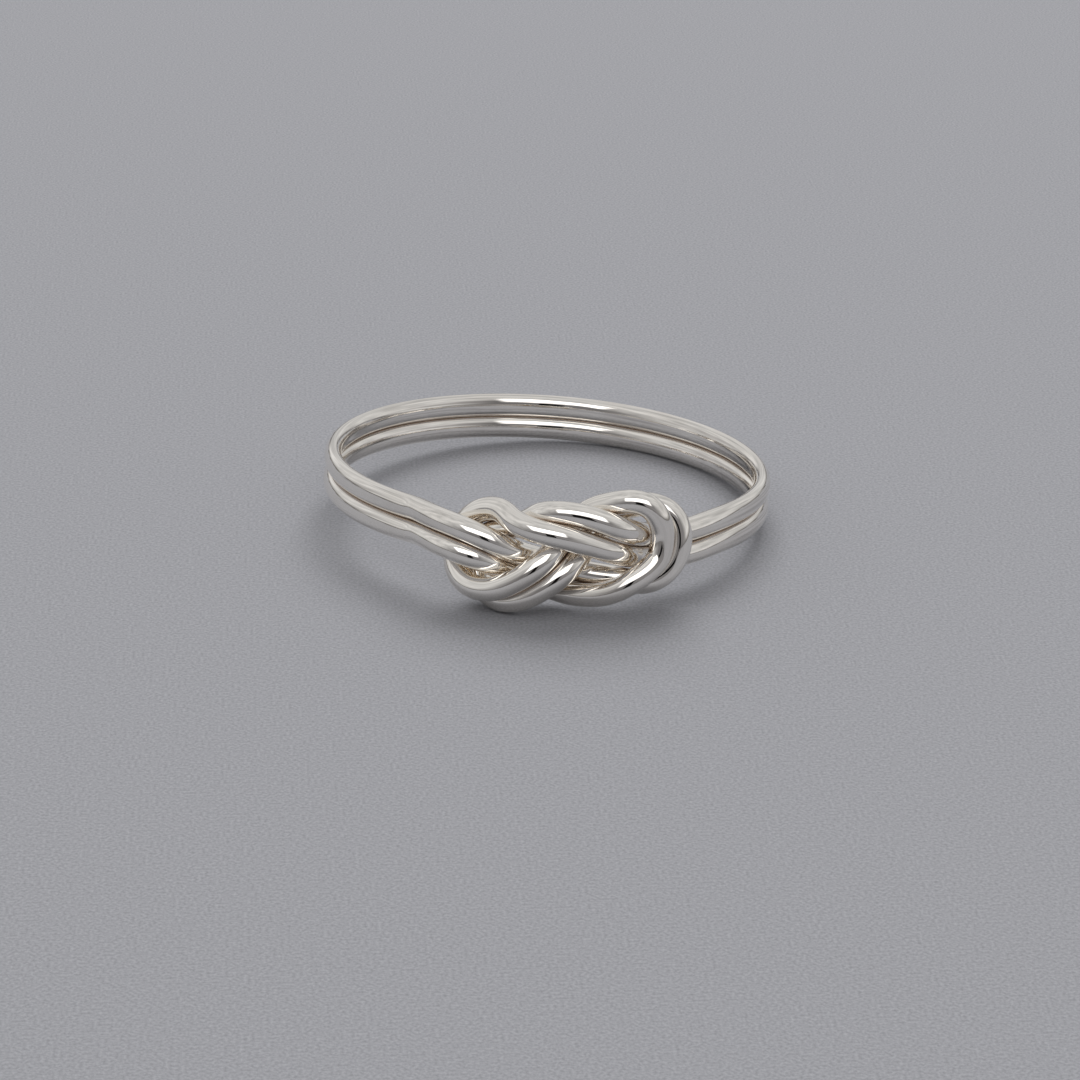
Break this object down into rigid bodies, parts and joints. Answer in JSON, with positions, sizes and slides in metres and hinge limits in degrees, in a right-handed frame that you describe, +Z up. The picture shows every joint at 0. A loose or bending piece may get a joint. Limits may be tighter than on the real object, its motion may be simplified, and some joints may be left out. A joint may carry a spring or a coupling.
{
  "type": "knot ring",
  "caption": "Finger ring of paired polished silver wires, tied in a flat figure-eight knot at the front.",
  "frame": {"origin": "middle of the ring's box, on the flat surface that the ring rests on", "axes": "+Z up from that surface, -Y towards the knot at the front, +X to the right as the knot is faced"},
  "size_m": [0.019, 0.0202, 0.0051],
  "materials": {
    "silver": "high polish sterling silver"
  },
  "bodies": {
    "root": {"upper_wire": "silver", "lower_wire": "silver"}
  },
  "joints": []
}
